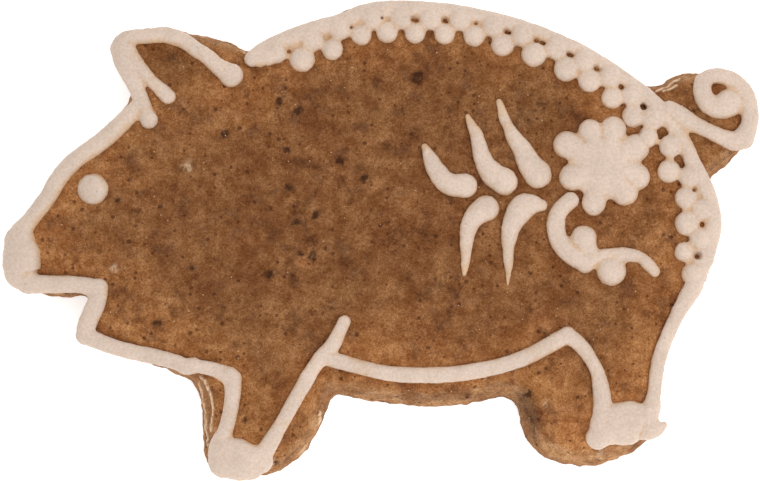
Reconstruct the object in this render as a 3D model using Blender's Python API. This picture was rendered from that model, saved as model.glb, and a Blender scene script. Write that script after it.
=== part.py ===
"""A pig-shaped gingerbread cookie decorated with piped icing.

It lies flat on its underside, with its head to -X, its back to +Y and its feet to -Y. Sizes are in
metres, +Z is up, and the origin is the middle of the bounding box's underside. The landmarks of the
outline and of the piped lines are in millimetres, seen from above.
"""

import bmesh
import bpy
import numpy as np
from mathutils import Matrix, Vector
from mathutils.bvhtree import BVHTree
from mathutils.geometry import delaunay_2d_cdt

MM = 0.001

# Dough: a flat slab with leaning walls and a rounded shoulder
THICKNESS = 0.0063
RIM_HEIGHT = 0.0048
SHOULDER_WIDTH = 0.0022
BELLY_OF_WALL = 0.0007
FOOT_INSET = 0.0004
UNEVENNESS = 0.00012
WELD = 0.00002
OUTLINE_STEP = 0.00135
SHOULDER_ROWS = (0.0006, 0.0016)
TOP_GRID = 0.0026

# Icing: half-round lines and beads, each clear of the dough by a narrow gap
FLATNESS = 0.65
LIFT = 0.00035
THIN_LINE = 0.0012
SINKING = 0.35
GAP = 0.0003
FILM = 0.00015
SAG = 0.0003
SETTLING_ROUNDS = 4
EDGE_SHARES = (0.17, 0.33, 0.5, 0.67, 0.83)
KEPT_FACES = 0.55
ICING_STEP = 0.00125
SIDE_DETAIL = 2
BEAD_SEGMENTS = 12
BEAD_RINGS = 6
ROW_SPACING = 0.0019
OUTER_BEAD = 0.0015
PETAL_WAIST = 0.0013
PETAL_TIP = 0.0018
FLOWER_BODY = 0.0036
FLOWER_FLATNESS = 0.37
FLOWER_CENTRE = (0.0285, 0.0096)
EYE_CENTRE = (-0.0367, 0.0062)
EYE_RADIUS = 0.0019

# Colours: base colour, roughness
DOUGH_LOOK = ((0.216, 0.089, 0.034, 1), 0.85)
ICING_LOOK = ((0.68, 0.53, 0.43, 1), 0.45)

# Edge of the dough, clockwise from the snout: x, y and how far the wall leans in
HEAD = [
    (-48.2, -2.2, 0.5), (-47.4, 0.4, 0.5), (-45.7, 3.1, 0.5), (-42.9, 7.3, 0.5),
    (-40.5, 10.4, 0.5), (-36.0, 14.4, 0.5), (-32.3, 18.2, 0.5)]
EAR = [
    (-32.5, 20.5, 0.7), (-34.2, 23.2, 0.6), (-34.5, 25.5, 0.6), (-32.5, 27.3, 0.6),
    (-28.1, 28.0, 0.6), (-23.3, 27.2, 1.2), (-19.2, 26.3, 1.3), (-17.0, 25.0, 1.0)]
BACK = [
    (-13.6, 26.7, 0.5), (-7.0, 28.9, 0.5), (-2.2, 30.8, 0.5), (5.2, 31.1, 0.5),
    (15.6, 29.5, 0.5), (25.9, 25.7, 0.5), (34.3, 20.5, 1.0)]
TAIL = [
    (37.2, 21.6, 1.4), (41.1, 22.3, 1.0), (45.7, 21.6, 0.6), (48.2, 18.3, 0.6),
    (47.8, 14.0, 0.7), (45.1, 10.6, 1.0), (42.4, 8.0, 0.9)]
HIND_LEG = [
    (43.5, 4.6, 0.5), (42.9, -0.9, 0.5), (41.5, -5.8, 0.8), (38.4, -10.5, 0.6),
    (36.5, -14.6, 0.5), (35.6, -20.5, 0.5), (34.9, -24.1, 0.7), (32.4, -26.8, 0.9),
    (26.8, -28.6, 1.1), (21.6, -28.0, 1.3), (18.4, -25.1, 1.6), (17.5, -21.5, 1.7)]
UNDERSIDE = [
    (16.2, -19.9, 1.4), (10.9, -20.8, 1.1), (4.7, -21.1, 1.1), (-3.4, -20.1, 1.1),
    (-5.8, -19.7, 1.2)]
FRONT_LEG = [
    (-7.3, -23.2, 1.1), (-9.8, -27.3, 1.1), (-14.3, -29.8, 0.8), (-18.5, -29.9, 0.5),
    (-21.9, -28.7, 0.9), (-22.8, -23.4, 1.3), (-23.3, -19.2, 1.3)]
JAW = [
    (-24.9, -17.4, 0.8), (-30.1, -15.4, 0.6), (-35.9, -13.7, 0.5), (-38.6, -12.0, 0.5),
    (-37.9, -9.3, 0.5), (-37.3, -7.0, 0.6), (-40.8, -7.1, 0.7), (-44.8, -6.1, 0.5),
    (-47.2, -4.8, 0.5)]
OUTLINE = HEAD + EAR + BACK + TAIL + HIND_LEG + UNDERSIDE + FRONT_LEG + JAW

# Piped lines that run together into one piece: x, y and half the line's width
EAR_TOP = [
    (-19.0, 21.1, 1.5), (-21.0, 22.8, 1.2), (-23.4, 24.4, 1.2), (-27.8, 26.1, 1.2),
    (-32.2, 25.1, 1.2), (-33.4, 24.0, 1.2)]
EAR_FOLD = [(-32.2, 24.1, 1.0), (-29.0, 20.3, 1.0), (-26.9, 17.7, 1.0)]
EAR_STEM = [(-33.2, 23.7, 1.1), (-31.0, 19.4, 1.2), (-29.3, 15.0, 1.2)]
FOREHEAD = [
    (-31.1, 16.6, 1.1), (-35.0, 12.8, 1.2), (-40.0, 9.0, 1.2), (-43.0, 4.6, 1.2),
    (-44.7, 1.9, 1.2), (-45.3, 0.3, 1.7)]
SNOUT = [(-45.5, -0.8, 2.2), (-45.6, -2.5, 2.4), (-45.5, -4.1, 2.3), (-45.0, -5.3, 1.7)]
MOUTH = [(-44.7, -5.9, 1.3), (-42.6, -6.0, 1.2), (-38.0, -6.1, 1.1), (-35.9, -6.6, 1.2)]
CHIN = [(-35.7, -6.4, 1.2), (-35.9, -8.1, 1.2), (-37.2, -11.3, 1.2), (-37.4, -12.7, 1.1)]
THROAT = [
    (-37.5, -12.6, 1.1), (-33.1, -14.2, 1.0), (-26.0, -15.9, 1.0), (-23.9, -16.8, 1.3),
    (-22.0, -16.8, 0.9), (-18.6, -18.4, 1.2)]
FRONT_SHIN = [(-18.8, -18.3, 1.1), (-18.8, -21.1, 1.2), (-19.4, -26.6, 1.5)]
FRONT_HOOF = [(-19.1, -27.7, 2.2), (-18.1, -28.2, 2.6), (-16.8, -28.3, 2.6), (-15.5, -28.2, 2.2)]
FRONT_CALF = [
    (-15.1, -27.4, 1.5), (-13.7, -26.0, 1.1), (-10.2, -20.3, 1.2), (-6.4, -15.0, 1.1),
    (-4.4, -10.7, 0.8)]
BELLY = [
    (-6.1, -15.5, 1.0), (-1.8, -16.8, 1.0), (4.0, -17.6, 1.0), (11.4, -17.2, 1.0),
    (18.0, -15.5, 1.0), (23.9, -12.4, 1.1)]
HIND_SHIN = [
    (23.8, -12.4, 1.1), (26.8, -15.1, 1.2), (28.0, -18.3, 1.2), (28.1, -22.1, 1.3),
    (28.0, -23.9, 1.7)]
HIND_HOOF = [
    (27.7, -25.1, 1.8), (29.1, -24.4, 2.4), (31.3, -24.0, 2.7), (33.0, -23.7, 2.4),
    (34.6, -23.9, 1.4), (35.6, -24.0, 0.6)]
HAM = [
    (34.3, -21.8, 1.2), (34.6, -20.1, 0.9), (35.3, -15.7, 0.9), (37.3, -10.7, 0.9),
    (39.9, -6.1, 1.2)]
SPINE = [
    (-16.4, 23.1, 1.0), (-14.8, 24.1, 1.2), (-8.7, 26.6, 1.1), (-4.5, 27.8, 1.1),
    (-1.8, 28.9, 1.1), (6.0, 29.2, 1.0), (14.1, 27.9, 1.0), (22.4, 25.2, 1.0),
    (31.2, 20.1, 1.0), (36.7, 15.0, 1.1), (40.1, 9.1, 1.1), (42.3, 3.2, 1.1),
    (42.1, 0.2, 1.1), (39.8, -6.3, 1.1)]
TAIL_STEM = [(35.7, 16.6, 1.0), (37.3, 16.2, 1.2), (42.2, 13.9, 1.1), (44.5, 12.6, 1.3)]
TAIL_CURL = [
    (44.5, 12.5, 1.3), (46.0, 12.8, 1.6), (46.9, 14.9, 1.3), (47.0, 16.8, 1.2),
    (46.1, 18.8, 1.3), (44.6, 20.0, 1.2), (42.9, 20.4, 1.1)]
TAIL_END = [
    (42.9, 20.4, 1.1), (41.5, 19.9, 1.2), (41.1, 18.5, 1.2), (42.0, 17.1, 1.2),
    (43.5, 16.6, 1.2), (44.8, 17.4, 1.3)]
OUTLINE_LINES = [
    EAR_TOP, EAR_FOLD, EAR_STEM, FOREHEAD, SNOUT, MOUTH, CHIN, THROAT, FRONT_SHIN, FRONT_HOOF,
    FRONT_CALF, BELLY, HIND_SHIN, HIND_HOOF, HAM, SPINE, TAIL_STEM, TAIL_CURL, TAIL_END]

# Inner row of beads along the back, from nape to rump: x, y and radius
BACK_BEADS = [
    (-10.0, 23.1, 1.7), (-6.3, 24.4, 1.5), (-2.4, 26.3, 1.4), (0.9, 26.6, 1.5), (4.5, 26.4, 1.4),
    (8.3, 26.4, 1.4), (12.2, 26.1, 1.5), (15.7, 24.9, 1.5), (19.7, 23.7, 1.6), (23.8, 21.8, 1.7),
    (26.8, 20.2, 1.5), (29.7, 17.9, 1.4), (32.4, 15.5, 1.5), (34.6, 12.8, 1.3), (36.8, 8.6, 1.6),
    (38.8, 5.1, 1.5), (39.0, 1.8, 1.6), (38.7, -2.0, 1.3), (39.6, -4.5, 1.5)]

# Decorations within the outline
DROPS = [
    [(5.9, 11.5, 0.6), (6.7, 9.9, 1.0), (7.9, 7.7, 1.3), (9.5, 6.6, 1.5), (10.7, 6.5, 1.6)],
    [(11.2, 15.7, 0.3), (12.4, 12.8, 0.9), (13.9, 9.2, 1.5), (15.4, 7.4, 1.9)],
    [(15.1, 17.6, 0.4), (16.3, 14.5, 0.7), (18.5, 10.5, 1.5), (20.0, 8.3, 1.9)],
    [(10.7, -4.7, 0.4), (10.9, -0.8, 1.0), (11.9, 2.3, 1.4), (13.2, 3.4, 1.8)],
    [(16.2, -6.3, 0.3), (16.2, -0.8, 1.0), (17.3, 2.9, 1.5), (18.8, 4.2, 1.6), (20.7, 4.2, 0.6)]]
PETALS = [(158, 6.6), (107, 6.0), (78, 6.2), (22, 5.0), (-17, 6.3), (-61, 6.4), (-98, 7.0), (-160, 6.0)]
SCROLL_STEM = [
    (24.2, 4.7, 1.1), (22.9, 3.4, 1.1), (22.4, 1.9, 1.2), (23.2, -1.2, 1.2), (26.1, -3.4, 1.2)]
SCROLL_TENDRIL = [(26.4, -3.5, 0.9), (28.4, -2.5, 0.9), (32.7, -2.5, 0.8), (34.9, -4.5, 0.6)]
SCROLL_BERRIES = [(25.9, -0.1, 1.6), (29.4, -4.4, 1.9)]


def smooth_path(landmarks, step, closed=False):
    """Points about a step apart on a smooth curve through the landmarks, all columns alike."""
    marks = np.array(landmarks) * MM
    if closed:
        marks = np.vstack((marks[-1:], marks, marks[:2]))
    else:
        marks = np.vstack((2 * marks[:1] - marks[1:2], marks, 2 * marks[-1:] - marks[-2:-1]))
    path = []
    for before, start, end, after in zip(marks, marks[1:], marks[2:], marks[3:]):
        count = max(1, round(np.linalg.norm((end - start)[:2]) / step))
        for t in np.arange(count) / count:
            pull = (end - before) * t + (2 * before - 5 * start + 4 * end - after) * t ** 2
            path.append(start + (pull + (3 * (start - end) + after - before) * t ** 3) / 2)
    if not closed:
        path.append(marks[-2])
    return np.array(path)


def inset(edge, widths):
    """A closed clockwise edge moved inwards by a width at each point."""
    along = np.roll(edge, -1, axis=0) - np.roll(edge, 1, axis=0)
    inward = np.column_stack((along[:, 1], -along[:, 0]))
    inward /= np.linalg.norm(inward, axis=1)[:, None]
    return edge + inward * np.reshape(widths, (-1, 1))


def distance_to(edge, places):
    """The distance from each place to the nearest side of a closed edge."""
    sides = np.roll(edge, -1, axis=0) - edge
    reach = places[:, None, :] - edge
    share = np.clip((reach * sides).sum(2) / (sides ** 2).sum(1), 0, 1)
    return np.linalg.norm(reach - share[:, :, None] * sides, axis=2).min(1)


def is_inside(edge, places):
    """Whether each place lies within a closed edge, by counting crossings to its right."""
    x, y = places[:, :1], places[:, 1:]
    start, end = edge, np.roll(edge, -1, axis=0)
    spans = (start[:, 1] > y) != (end[:, 1] > y)
    rise = np.where(start[:, 1] == end[:, 1], 1, end[:, 1] - start[:, 1])
    crossing = start[:, 0] + (end[:, 0] - start[:, 0]) * (y - start[:, 1]) / rise
    return (spans & (crossing > x)).sum(1) % 2 == 1


def dough_height(rim, places):
    """Height of the dough's top: a rounded shoulder up from the rim, then an uneven plateau."""
    x, y = places[:, 0] / MM, places[:, 1] / MM
    swell = np.sin(x / 9 + 1) * np.cos(y / 7) + 0.5 * np.sin(x / 3.7 - y / 5.1)
    depth = np.clip(distance_to(rim, places) / SHOULDER_WIDTH, 0, 1) * is_inside(rim, places)
    shoulder = np.sqrt(1 - (1 - depth) ** 2)
    return RIM_HEIGHT + (THICKNESS - RIM_HEIGHT + UNEVENNESS * swell) * shoulder


def bed_height(rim, places):
    """Height of what the icing lies on: it bridges the steep part of the shoulder."""
    return np.maximum(dough_height(rim, places), THICKNESS - SAG)


def rim_of_dough():
    """The edge where the leaning wall meets the rounded shoulder."""
    outline = smooth_path(OUTLINE, OUTLINE_STEP, closed=True)
    return inset(outline[:, :2], outline[:, 2])


def top_places(rim):
    """Points of the top face: the rim, rows along the shoulder and a grid over the plateau."""
    rows = [rim]
    for width in SHOULDER_ROWS:
        row = inset(rim, np.full(len(rim), width))[::2]
        rows.append(row[is_inside(rim, row) & (distance_to(rim, row) > 0.9 * width)])
    low, high = rim.min(0), rim.max(0)
    columns = np.arange(low[0], high[0], TOP_GRID)
    lines = np.arange(low[1], high[1], TOP_GRID * np.sqrt(3) / 2)
    grid = [(x + TOP_GRID / 2 * (row % 2), y) for row, y in enumerate(lines) for x in columns]
    grid = np.array(grid)
    clear = SHOULDER_ROWS[-1] + TOP_GRID / 2
    rows.append(grid[is_inside(rim, grid) & (distance_to(rim, grid) > clear)])
    return np.vstack(rows)


def add_top(bm, rim):
    """Cover the dough's top with triangles between its places."""
    places = [Vector(place) for place in top_places(rim)]
    edges = [(i, (i + 1) % len(rim)) for i in range(len(rim))]
    places, _, triangles, *_ = delaunay_2d_cdt(places, edges, [], 1, 1e-7)
    places = np.array([tuple(place) for place in places])
    heights = dough_height(rim, places)
    verts = [bm.verts.new((x, y, z)) for (x, y), z in zip(places, heights)]
    for triangle in triangles:
        bm.faces.new([verts[i] for i in triangle])


def add_wall(bm, rim):
    """Join the rings of the leaning wall, from the rounded foot to the rim, and close the underside."""
    outline = smooth_path(OUTLINE, OUTLINE_STEP, closed=True)
    edge, lean = outline[:, :2], outline[:, 2]
    middle = (BELLY_OF_WALL + RIM_HEIGHT) / 2
    rings = [
        (inset(edge, np.full(len(edge), FOOT_INSET)), 0),
        (edge, BELLY_OF_WALL),
        (inset(edge, lean * 0.4), middle),
        (rim, RIM_HEIGHT)]
    loops = [[bm.verts.new((x, y, height)) for x, y in ring] for ring, height in rings]
    for lower, upper in zip(loops, loops[1:]):
        for i in range(len(lower)):
            after = (i + 1) % len(lower)
            bm.faces.new((lower[i], upper[i], upper[after], lower[after]))
    underside = bm.faces.new(loops[0])
    bmesh.ops.triangulate(bm, faces=[underside])


def new_object(name, mesh):
    item = bpy.data.objects.new(name, mesh)
    bpy.context.scene.collection.objects.link(item)
    return item


def make_dough(rim):
    """The baked slab, one closed solid."""
    mesh = bpy.data.meshes.new("gingerbread")
    bm = bmesh.new()
    add_wall(bm, rim)
    add_top(bm, rim)
    bmesh.ops.remove_doubles(bm, verts=bm.verts, dist=WELD)
    bmesh.ops.recalc_face_normals(bm, faces=bm.faces)
    bm.to_mesh(mesh)
    bm.free()
    return new_object("gingerbread", mesh)


def with_round_ends(path):
    """The path with both ends drawn out and narrowed in a quarter circle."""
    for _ in range(2):
        tangent = (path[-1] - path[-2])[:2]
        tangent /= np.linalg.norm(tangent)
        x, y, radius = path[-1]
        turns = np.radians((35, 62, 85))
        ends = [(x, y) + tangent * radius * np.sin(turn) for turn in turns]
        narrowed = np.column_stack((ends, radius * np.cos(turns)))
        path = np.vstack((path, narrowed))[::-1]
    return path


def piped_line(rim, landmarks):
    """A half-round line of icing: a bevelled curve, flattened, with round ends."""
    path = with_round_ends(smooth_path(landmarks, ICING_STEP))
    curve = bpy.data.curves.new("line", "CURVE")
    curve.dimensions = "3D"
    curve.twist_mode = "Z_UP"
    curve.bevel_depth = MM
    curve.bevel_resolution = SIDE_DETAIL
    curve.use_fill_caps = True
    spline = curve.splines.new("POLY")
    spline.points.add(len(path) - 1)
    sink = SINKING * np.maximum(path[:, 2] - THIN_LINE, 0)
    heights = (bed_height(rim, path[:, :2]) + LIFT - sink) / FLATNESS
    for point, (x, y, radius), height in zip(spline.points, path, heights):
        point.co = (x, y, height, 1)
        point.radius = radius / MM
    line = new_object("line", curve)
    line.scale.z = FLATNESS
    bpy.context.view_layer.update()
    mesh = bpy.data.meshes.new_from_object(line.evaluated_get(bpy.context.evaluated_depsgraph_get()))
    mesh.transform(line.matrix_world)
    bpy.data.objects.remove(line)
    bm = bmesh.new()
    bm.from_mesh(mesh)
    bmesh.ops.remove_doubles(bm, verts=bm.verts, dist=WELD)
    bmesh.ops.recalc_face_normals(bm, faces=bm.faces)
    bm.to_mesh(mesh)
    bm.free()
    return new_object("line", mesh)


def bead(rim, x, y, radius, flatness=FLATNESS):
    """A flattened ball of icing."""
    height = bed_height(rim, np.array([(x, y)]))[0] + LIFT
    bpy.ops.mesh.primitive_uv_sphere_add(
        segments=BEAD_SEGMENTS, ring_count=BEAD_RINGS, radius=radius,
        location=(x, y, height), scale=(1, 1, flatness))
    ball = bpy.context.object
    ball.data.transform(ball.matrix_basis)
    ball.matrix_basis = Matrix()
    return ball


def back_beads(rim):
    """The inner row of beads and an outer one, whose beads sit in the hollows between the inner ones."""
    inner = np.array(BACK_BEADS) * MM
    middles = (inner[1:, :2] + inner[:-1, :2]) / 2
    along = inner[1:, :2] - inner[:-1, :2]
    outward = np.column_stack((-along[:, 1], along[:, 0]))
    outward *= ROW_SPACING / np.linalg.norm(outward, axis=1)[:, None]
    beads = [bead(rim, x, y, radius) for x, y, radius in inner]
    beads += [bead(rim, x, y, OUTER_BEAD) for x, y in middles + outward]
    return beads


def flower(rim):
    """A body with rounded petals of unequal reach, each a short thick line."""
    x, y = FLOWER_CENTRE
    pieces = [bead(rim, x, y, FLOWER_BODY, FLOWER_FLATNESS)]
    for turn, reach in PETALS:
        reach = reach * MM - PETAL_TIP
        aim = np.array((np.cos(np.radians(turn)), np.sin(np.radians(turn))))
        landmarks = [(*FLOWER_CENTRE + aim * reach * share, half_width)
                     for share, half_width in ((0.2, PETAL_WAIST), (0.6, 0.8 * PETAL_TIP), (1, PETAL_TIP))]
        pieces.append(piped_line(rim, np.array(landmarks) / MM))
    return pieces


def join_by_union(pieces):
    """One solid from overlapping pieces, which are then removed."""
    body, *others = pieces
    if others:
        group = bpy.data.collections.new("joined")
        for other in others:
            group.objects.link(other)
        union = body.modifiers.new("Union", "BOOLEAN")
        union.operation = "UNION"
        union.operand_type = "COLLECTION"
        union.collection = group
        bpy.context.view_layer.update()
        joined = body.evaluated_get(bpy.context.evaluated_depsgraph_get())
        mesh = bpy.data.meshes.new_from_object(joined)
        body.modifiers.clear()
        body.data = mesh
        thin = body.modifiers.new("Thin out", "DECIMATE")
        thin.ratio = KEPT_FACES
        bpy.context.view_layer.update()
        thinned = body.evaluated_get(bpy.context.evaluated_depsgraph_get())
        mesh = bpy.data.meshes.new_from_object(thinned)
        body.modifiers.clear()
        body.data = mesh
        for other in others:
            bpy.data.objects.remove(other)
        bpy.data.collections.remove(group)
    return body


def shortage(tree, place, more=0):
    """How far a place lies below its least height above the dough; nothing beyond the dough's edge."""
    surface, _, _, _ = tree.ray_cast(Vector((place.x, place.y, 1)), Vector((0, 0, -1)))
    return max(0, surface.z + GAP + more - place.z) if surface else 0


def rest_on(dough, icing):
    """Lift what would sink into the dough, so that the icing's underside follows it across the gap."""
    tree = BVHTree.FromObject(dough, bpy.context.evaluated_depsgraph_get())
    bm = bmesh.new()
    bm.from_mesh(icing.data)
    bmesh.ops.triangulate(bm, faces=bm.faces)
    bm.normal_update()
    upper = {vert for vert in bm.verts if vert.normal.z > 0}
    for vert in bm.verts:
        vert.co.z += shortage(tree, vert.co, FILM if vert in upper else 0)
    for _ in range(SETTLING_ROUNDS):
        for face in bm.faces:
            places = [edge.verts[0].co.lerp(edge.verts[1].co, share)
                      for edge in face.edges for share in EDGE_SHARES]
            lift = max(shortage(tree, place) for place in (face.calc_center_median(), *places))
            for vert in face.verts:
                vert.co.z += lift
    bm.to_mesh(icing.data)
    bm.free()


def material(name, look):
    colour, roughness = look
    surface = bpy.data.materials.new(name)
    surface.use_nodes = True
    shader = surface.node_tree.nodes["Principled BSDF"]
    shader.inputs["Base Color"].default_value = colour
    shader.inputs["Roughness"].default_value = roughness
    surface.diffuse_color = colour
    return surface


def icing_pieces(rim):
    """Every node of icing, by name, as the pieces that run together in it."""
    nodes = {
        "icing_outline": [piped_line(rim, line) for line in OUTLINE_LINES] + back_beads(rim),
        "icing_flower": flower(rim),
        "icing_scroll": (
            [piped_line(rim, line) for line in (SCROLL_STEM, SCROLL_TENDRIL)]
            + [bead(rim, *np.array(berry) * MM) for berry in SCROLL_BERRIES]),
        "icing_eye": [bead(rim, *EYE_CENTRE, EYE_RADIUS)]}
    for number, drop in enumerate(DROPS, 1):
        nodes[f"icing_drop_{number}"] = [piped_line(rim, drop)]
    return nodes


def finish(name, item, look, collection):
    """Name a node, give it its own material and move it to the object's collection."""
    item.name = name
    item.data.name = name
    item.data.materials.clear()
    item.data.materials.append(material(name, look))
    item.data.shade_smooth()
    for holder in item.users_collection:
        holder.objects.unlink(item)
    collection.objects.link(item)


def centre_on_origin(items):
    """Move all nodes so that the origin is the middle of their bounding box's underside."""
    corners = np.array([vert.co for item in items for vert in item.data.vertices])
    low, high = corners.min(0), corners.max(0)
    shift = Matrix.Translation((-(low[0] + high[0]) / 2, -(low[1] + high[1]) / 2, -low[2]))
    for item in items:
        item.data.transform(shift)


def main():
    for item in list(bpy.data.objects):
        bpy.data.objects.remove(item)
    collection = bpy.data.collections.new("gingerbread_cookie")
    bpy.context.scene.collection.children.link(collection)
    rim = rim_of_dough()
    dough = make_dough(rim)
    items = [dough]
    finish("gingerbread", dough, DOUGH_LOOK, collection)
    for name, pieces in icing_pieces(rim).items():
        icing = join_by_union(pieces)
        rest_on(dough, icing)
        finish(name, icing, ICING_LOOK, collection)
        items.append(icing)
    centre_on_origin(items)


main()
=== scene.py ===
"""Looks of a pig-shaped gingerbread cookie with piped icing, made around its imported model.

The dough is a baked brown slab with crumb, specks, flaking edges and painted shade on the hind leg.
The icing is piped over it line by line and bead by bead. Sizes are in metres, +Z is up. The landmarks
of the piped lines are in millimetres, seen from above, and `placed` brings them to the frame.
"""

import math

import bpy
import numpy as np
from bpy.props import FloatProperty, FloatVectorProperty, PointerProperty
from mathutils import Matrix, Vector, kdtree, noise
from mathutils.bvhtree import BVHTree


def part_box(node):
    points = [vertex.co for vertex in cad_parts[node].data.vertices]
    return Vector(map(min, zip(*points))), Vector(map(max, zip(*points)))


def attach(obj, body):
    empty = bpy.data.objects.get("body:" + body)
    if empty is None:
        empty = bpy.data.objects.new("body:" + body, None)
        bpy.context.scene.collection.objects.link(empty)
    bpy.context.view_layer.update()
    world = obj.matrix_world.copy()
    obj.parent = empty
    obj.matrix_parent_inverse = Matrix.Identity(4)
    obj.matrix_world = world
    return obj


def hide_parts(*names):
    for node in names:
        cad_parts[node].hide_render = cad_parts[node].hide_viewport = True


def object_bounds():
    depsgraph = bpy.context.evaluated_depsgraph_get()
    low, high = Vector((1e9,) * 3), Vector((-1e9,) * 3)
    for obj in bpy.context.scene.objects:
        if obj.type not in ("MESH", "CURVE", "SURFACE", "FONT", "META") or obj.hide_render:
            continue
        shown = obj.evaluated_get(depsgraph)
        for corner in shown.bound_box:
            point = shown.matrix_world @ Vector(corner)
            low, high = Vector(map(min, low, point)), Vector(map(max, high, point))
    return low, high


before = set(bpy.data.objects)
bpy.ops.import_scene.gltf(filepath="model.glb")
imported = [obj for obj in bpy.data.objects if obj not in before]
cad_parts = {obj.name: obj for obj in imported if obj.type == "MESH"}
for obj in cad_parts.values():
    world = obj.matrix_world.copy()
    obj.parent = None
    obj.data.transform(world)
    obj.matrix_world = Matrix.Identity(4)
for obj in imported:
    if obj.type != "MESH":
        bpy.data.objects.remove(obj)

bl_info = {
    "name": "Iced Gingerbread Pig",
    "version": (1, 0, 0),
    "blender": (4, 5, 0),
    "location": "3D View > Sidebar > Cookie",
    "description": "Bakes a gingerbread pig and pipes its icing",
    "category": "Add Mesh",
}

MM = 0.001
CAD_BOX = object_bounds()

# Landmarks of the piped lines: x, y and half the line's width
EAR_TOP = [
    (-19.0, 20.9, 1.53), (-19.8, 21.4, 1.27), (-21.0, 22.3, 1.06), (-22.1, 23.3, 1.02),
    (-23.5, 24.2, 1.02), (-25.0, 25.3, 1.05), (-26.4, 25.9, 1.06), (-27.8, 26.2, 1.05),
    (-29.4, 26.0, 0.99), (-31.9, 25.8, 1.02), (-32.9, 25.2, 1.27), (-33.2, 24.4, 1.4)]
EAR_FOLD = [
    (-32.5, 24.4, 1.15), (-31.1, 22.5, 0.89), (-29.9, 21.0, 0.83), (-28.6, 19.6, 0.83),
    (-27.7, 18.7, 0.93), (-27.1, 18.1, 0.99)]
EAR_STEM = [
    (-33.1, 24.2, 1.34), (-32.7, 22.6, 1.34), (-31.8, 20.8, 1.21), (-31.0, 19.0, 1.02),
    (-30.3, 17.0, 1.05), (-29.5, 15.1, 1.15)]
FOREHEAD = [
    (-31.1, 16.6, 1.1), (-35.0, 12.8, 1.2), (-39.9, 8.9, 1.15), (-42.8, 4.5, 1.1),
    (-44.6, 2.1, 1.1), (-45.6, 0.8, 1.4)]
SNOUT = [
    (-45.8, -0.4, 1.95), (-45.6, -1.9, 2.4), (-45.5, -3.5, 2.5), (-45.4, -4.7, 2.25),
    (-44.7, -5.8, 1.47)]
MOUTH = [(-44.7, -5.9, 1.3), (-42.6, -6.0, 1.2), (-38.0, -6.1, 1.1), (-35.9, -6.6, 1.2)]
CHIN = [(-35.7, -6.4, 1.2), (-35.9, -8.1, 1.2), (-37.2, -11.3, 1.2), (-37.4, -12.7, 1.1)]
THROAT = [
    (-37.5, -12.6, 1.1), (-33.1, -14.2, 1.0), (-26.0, -15.9, 1.0), (-24.5, -16.5, 1.09),
    (-23.4, -16.4, 1.05), (-22.8, -16.5, 0.84), (-20.7, -17.0, 0.96), (-19.0, -17.8, 1.19)]
FRONT_SHIN = [
    (-18.7, -18.1, 1.23), (-18.6, -19.7, 1.05), (-18.7, -20.9, 0.99), (-19.2, -23.5, 0.97),
    (-19.6, -24.9, 1.02), (-20.2, -26.4, 1.27), (-20.3, -27.6, 1.4)]
FRONT_HOOF = [
    (-19.6, -28.5, 2.1), (-17.8, -28.6, 2.35), (-16.0, -28.6, 2.2), (-15.0, -28.5, 1.53)]
FRONT_INSTEP = [(-19.7, -26.8, 1.5), (-17.8, -27.3, 1.65), (-16.0, -27.9, 1.6), (-15.0, -27.6, 1.27)]
FRONT_CALF = [
    (-14.4, -27.1, 1.15), (-12.7, -24.3, 0.93), (-11.6, -22.3, 0.91), (-10.0, -19.5, 0.93),
    (-8.6, -17.0, 0.96), (-7.3, -15.3, 1.02), (-6.0, -13.8, 0.96), (-5.3, -12.5, 0.9), (-4.5, -10.8, 0.82)]
BELLY = [
    (-6.6, -15.5, 0.96), (-3.8, -16.2, 0.93), (0.0, -17.2, 0.92), (4.0, -17.6, 1.0),
    (11.4, -17.2, 1.0), (18.0, -15.5, 1.0), (23.8, -12.5, 1.09)]
HIND_SHIN = [
    (23.8, -12.5, 1.09), (25.3, -13.8, 0.96), (26.6, -15.5, 0.87), (27.4, -17.0, 0.87),
    (27.9, -19.0, 1.05), (28.1, -20.8, 1.15), (28.1, -22.3, 1.28), (27.9, -24.0, 1.5)]
HIND_HOOF = [
    (27.5, -25.5, 1.54), (28.4, -24.8, 1.92), (29.8, -24.1, 2.62), (31.5, -23.7, 2.75),
    (33.1, -23.8, 2.37), (34.3, -24.3, 1.54), (35.3, -24.2, 0.96), (35.9, -23.9, 0.45)]
HIND_INSTEP = [(29.2, -22.9, 1.5), (31.5, -22.6, 1.75), (33.7, -23.2, 1.5)]
HAM = [
    (34.3, -21.8, 1.2), (34.6, -20.1, 0.9), (35.3, -15.7, 0.9), (37.3, -10.7, 0.9),
    (39.9, -6.1, 1.2)]
SPINE = [
    (-16.3, 23.1, 1.05), (-14.8, 24.1, 1.2), (-8.7, 26.7, 1.25), (-4.5, 27.9, 1.25),
    (-1.8, 29.0, 1.25), (6.0, 29.4, 1.15), (14.15, 28.25, 1.0), (22.55, 25.6, 0.9),
    (31.35, 20.45, 0.9), (36.85, 15.15, 1.05), (40.15, 9.1, 1.05), (42.3, 3.2, 1.1),
    (42.1, 0.2, 1.15), (39.8, -6.3, 1.1)]
TAIL_STEM = [
    (37.0, 16.5, 1.08), (38.3, 15.7, 1.19), (39.6, 14.8, 1.15), (40.8, 14.2, 1.02), (42.3, 13.5, 0.93),
    (44.0, 12.8, 1.08), (45.3, 12.4, 1.27), (46.4, 12.8, 1.4)]
TAIL_CURL = [
    (46.4, 12.8, 1.4), (47.1, 14.3, 1.15), (47.2, 16.4, 1.11), (46.7, 18.3, 1.19), (45.7, 19.7, 1.15),
    (44.1, 20.7, 1.02), (42.4, 20.8, 0.97), (41.3, 20.1, 1.08)]
TAIL_END = [
    (41.3, 20.1, 1.15), (41.2, 18.7, 1.2), (41.7, 17.6, 1.3), (42.5, 16.9, 1.4), (43.5, 16.8, 1.6),
    (44.5, 17.3, 1.8)]
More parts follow.
